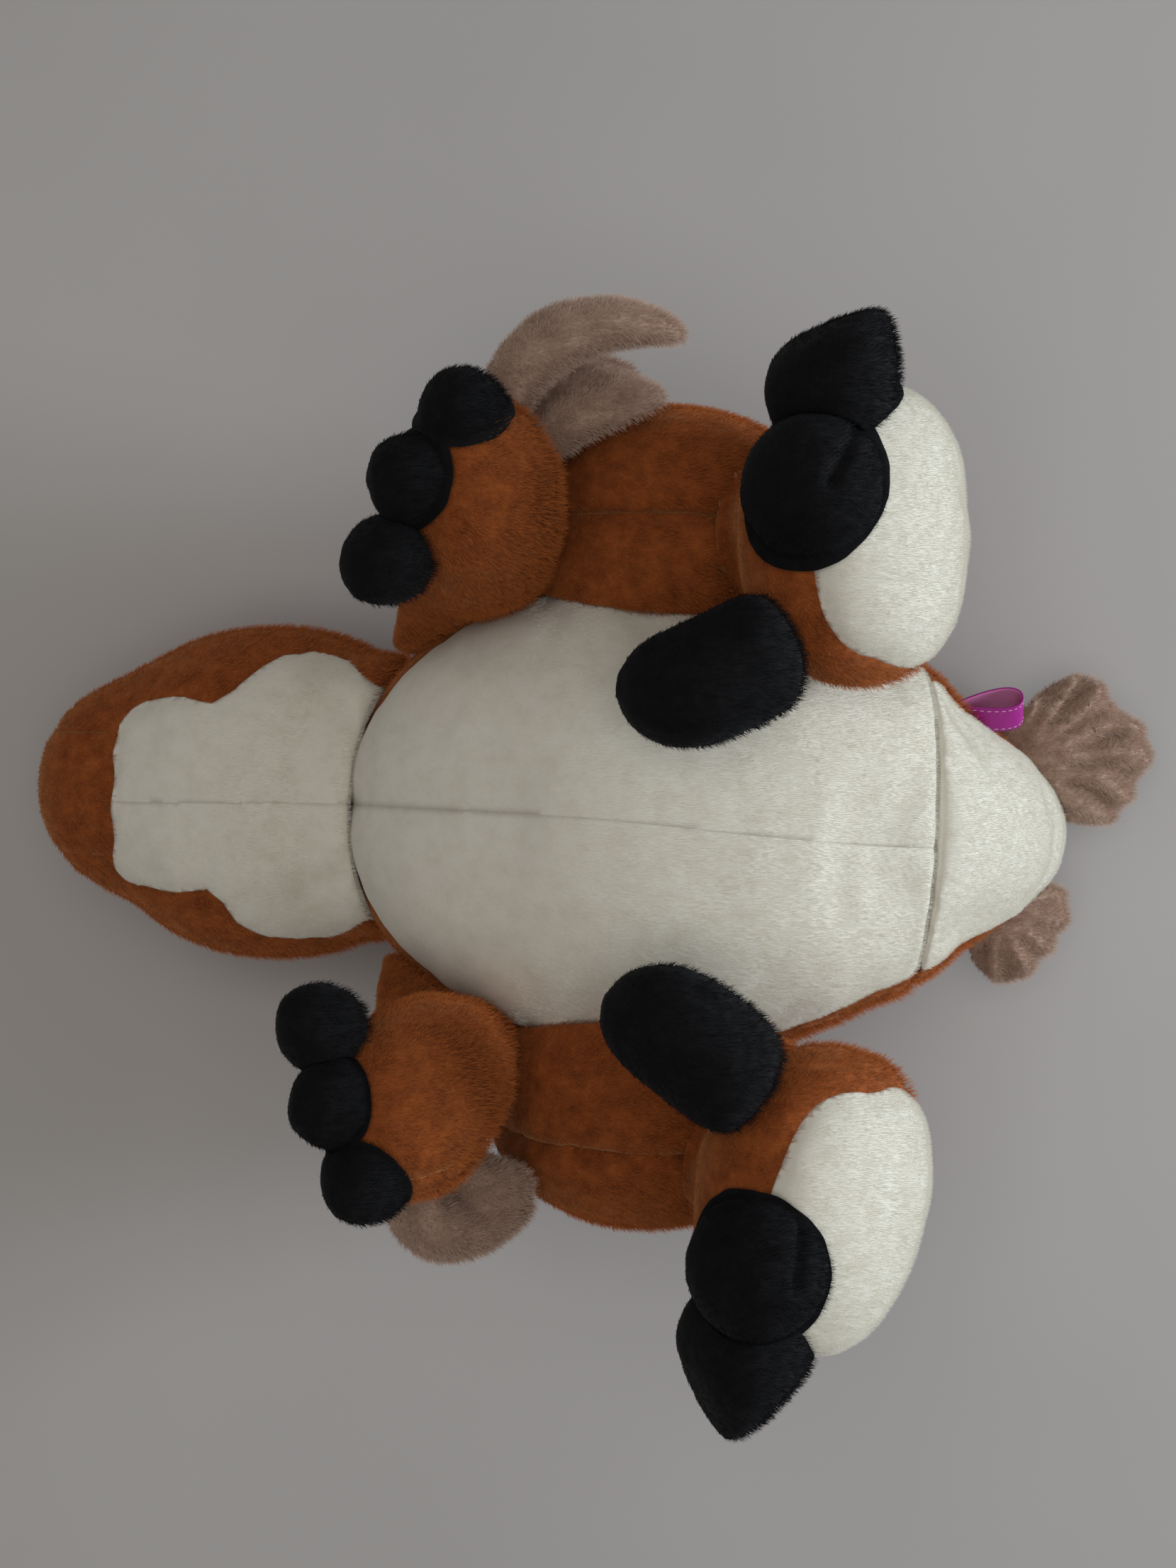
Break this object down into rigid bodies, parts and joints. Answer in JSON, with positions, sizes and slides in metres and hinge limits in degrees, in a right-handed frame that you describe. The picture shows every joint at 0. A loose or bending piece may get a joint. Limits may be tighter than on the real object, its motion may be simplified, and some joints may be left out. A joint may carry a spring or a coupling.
{
  "type": "plush velociraptor",
  "caption": "Plump plush velociraptor lying on its back, with white belly and soles, black stuffed claws, sewn limbs that bend and spring back, and brown feather flaps.",
  "frame": {"origin": "middle of the flat patch of the back that the toy lies on", "axes": "+X from snout to tail, +Y to the toy's left, +Z from back to belly"},
  "size_m": [0.497, 0.4231, 0.2557],
  "materials": {
    "rust_plush": "matte",
    "white_plush": "matte",
    "black_plush": "matte",
    "brown_long_pile": "matte",
    "polyester_filling": "matte",
    "purple_ribbon": "satin",
    "eye_plastic": "gloss",
    "washer_plastic": "matte"
  },
  "bodies": {
    "torso": {"back_panel": "rust_plush", "belly_panel_left": "white_plush", "belly_panel_right": "white_plush", "torso_stuffing": "polyester_filling"},
    "head": {"head_gusset": "rust_plush", "head_side_left": "rust_plush", "head_side_right": "rust_plush", "chin_panel_left": "white_plush", "chin_panel_right": "white_plush", "head_stuffing": "polyester_filling", "eye_left": "eye_plastic", "eye_right": "eye_plastic", "eye_washer_left": "washer_plastic", "eye_washer_right": "washer_plastic"},
    "tail": {"tail_underside_panel": "white_plush", "tail_top_panel": "rust_plush", "tail_stuffing": "polyester_filling"},
    "ribbon": {"ribbon_tag": "purple_ribbon"},
    "tail_fan_left": {"tail_feather_left": "brown_long_pile"},
    "arm_left": {"arm_outer_panel_left": "rust_plush", "arm_inner_panel_left": "rust_plush", "arm_stuffing_left": "polyester_filling", "finger_claw_inner_left": "black_plush", "finger_claw_middle_left": "black_plush", "finger_claw_outer_left": "black_plush"},
    "wing_left": {"arm_feather_left": "brown_long_pile"},
    "leg_left": {"thigh_outer_panel_left": "rust_plush", "thigh_inner_panel_left": "rust_plush", "thigh_stuffing_left": "polyester_filling"},
    "foot_left": {"foot_upper_left": "rust_plush", "foot_sole_left": "white_plush", "foot_stuffing_left": "polyester_filling", "toe_claw_outer_left": "black_plush", "toe_claw_middle_left": "black_plush"},
    "sickle_left": {"sickle_claw_left": "black_plush"},
    "tail_fan_right": {"tail_feather_right": "brown_long_pile"},
    "arm_right": {"arm_outer_panel_right": "rust_plush", "arm_inner_panel_right": "rust_plush", "arm_stuffing_right": "polyester_filling", "finger_claw_inner_right": "black_plush", "finger_claw_middle_right": "black_plush", "finger_claw_outer_right": "black_plush"},
    "wing_right": {"arm_feather_right": "brown_long_pile"},
    "leg_right": {"thigh_outer_panel_right": "rust_plush", "thigh_inner_panel_right": "rust_plush", "thigh_stuffing_right": "polyester_filling"},
    "foot_right": {"foot_upper_right": "rust_plush", "foot_sole_right": "white_plush", "foot_stuffing_right": "polyester_filling", "toe_claw_outer_right": "black_plush", "toe_claw_middle_right": "black_plush"},
    "sickle_right": {"sickle_claw_right": "black_plush"}
  },
  "joints": [
    {"name": "head_nod", "type": "hinge", "parent": "torso", "child": "head", "pos_m": [-0.1, 0, 0.085], "axis": [0, 1, 0], "range_deg": [-10, 12], "stiffness_Nm_per_rad": 1.2},
    {"name": "tail_wag", "type": "hinge", "parent": "torso", "child": "tail", "pos_m": [0.113, 0, 0.085], "axis": [0, 0, 1], "range_deg": [-8, 8], "stiffness_Nm_per_rad": 0.8},
    {"name": "ribbon_flap", "type": "hinge", "parent": "tail", "child": "ribbon", "pos_m": [0.133, 0.048, 0.084], "axis": [0, 0, 1], "range_deg": [-20, 20], "stiffness_Nm_per_rad": 0.001},
    {"name": "tail_fan_left_flap", "type": "hinge", "parent": "tail", "child": "tail_fan_left", "pos_m": [0.166, 0.03, 0.042], "axis": [0.6, -0.8, 0], "range_deg": [-15, 15], "stiffness_Nm_per_rad": 0.02},
    {"name": "shoulder_left", "type": "hinge", "parent": "torso", "child": "arm_left", "pos_m": [-0.07, 0.088, 0.112], "axis": [0, 1, 0], "range_deg": [-20, 6], "stiffness_Nm_per_rad": 0.3},
    {"name": "wing_left_flap", "type": "hinge", "parent": "arm_left", "child": "wing_left", "pos_m": [-0.072, 0.128, 0.172], "axis": [0, 0, 1], "range_deg": [-3, 15], "stiffness_Nm_per_rad": 0.03},
    {"name": "hip_left", "type": "hinge", "parent": "torso", "child": "leg_left", "pos_m": [0.003, 0.118, 0.106], "axis": [0, 1, 0], "range_deg": [-15, 12], "stiffness_Nm_per_rad": 0.8},
    {"name": "ankle_left", "type": "hinge", "parent": "leg_left", "child": "foot_left", "pos_m": [0.0416, 0.11311, 0.15167], "axis": [0, 1, 0], "range_deg": [-8, 12], "stiffness_Nm_per_rad": 0.4},
    {"name": "sickle_left_lift", "type": "hinge", "parent": "foot_left", "child": "sickle_left", "pos_m": [0.04222, 0.06177, 0.21911], "axis": [0, 1, 0], "range_deg": [-10, 15], "stiffness_Nm_per_rad": 0.08},
    {"name": "tail_fan_right_flap", "type": "hinge", "parent": "tail", "child": "tail_fan_right", "pos_m": [0.158, -0.036, 0.042], "axis": [-0.6, -0.8, 0], "range_deg": [-15, 15], "stiffness_Nm_per_rad": 0.02},
    {"name": "shoulder_right", "type": "hinge", "parent": "torso", "child": "arm_right", "pos_m": [-0.07, -0.088, 0.112], "axis": [0, 1, 0], "range_deg": [-20, 6], "stiffness_Nm_per_rad": 0.3},
    {"name": "wing_right_flap", "type": "hinge", "parent": "arm_right", "child": "wing_right", "pos_m": [-0.096, -0.124, 0.168], "axis": [0, 0, 1], "range_deg": [-15, 3], "stiffness_Nm_per_rad": 0.03},
    {"name": "hip_right", "type": "hinge", "parent": "torso", "child": "leg_right", "pos_m": [0.003, -0.118, 0.106], "axis": [0, 1, 0], "range_deg": [-15, 12], "stiffness_Nm_per_rad": 0.8},
    {"name": "ankle_right", "type": "hinge", "parent": "leg_right", "child": "foot_right", "pos_m": [0.0386, -0.13024, 0.15272], "axis": [0, 1, 0], "range_deg": [-8, 12], "stiffness_Nm_per_rad": 0.4},
    {"name": "sickle_right_lift", "type": "hinge", "parent": "foot_right", "child": "sickle_right", "pos_m": [0.03827, -0.09198, 0.2183], "axis": [0, 1, 0], "range_deg": [-10, 15], "stiffness_Nm_per_rad": 0.08}
  ]
}
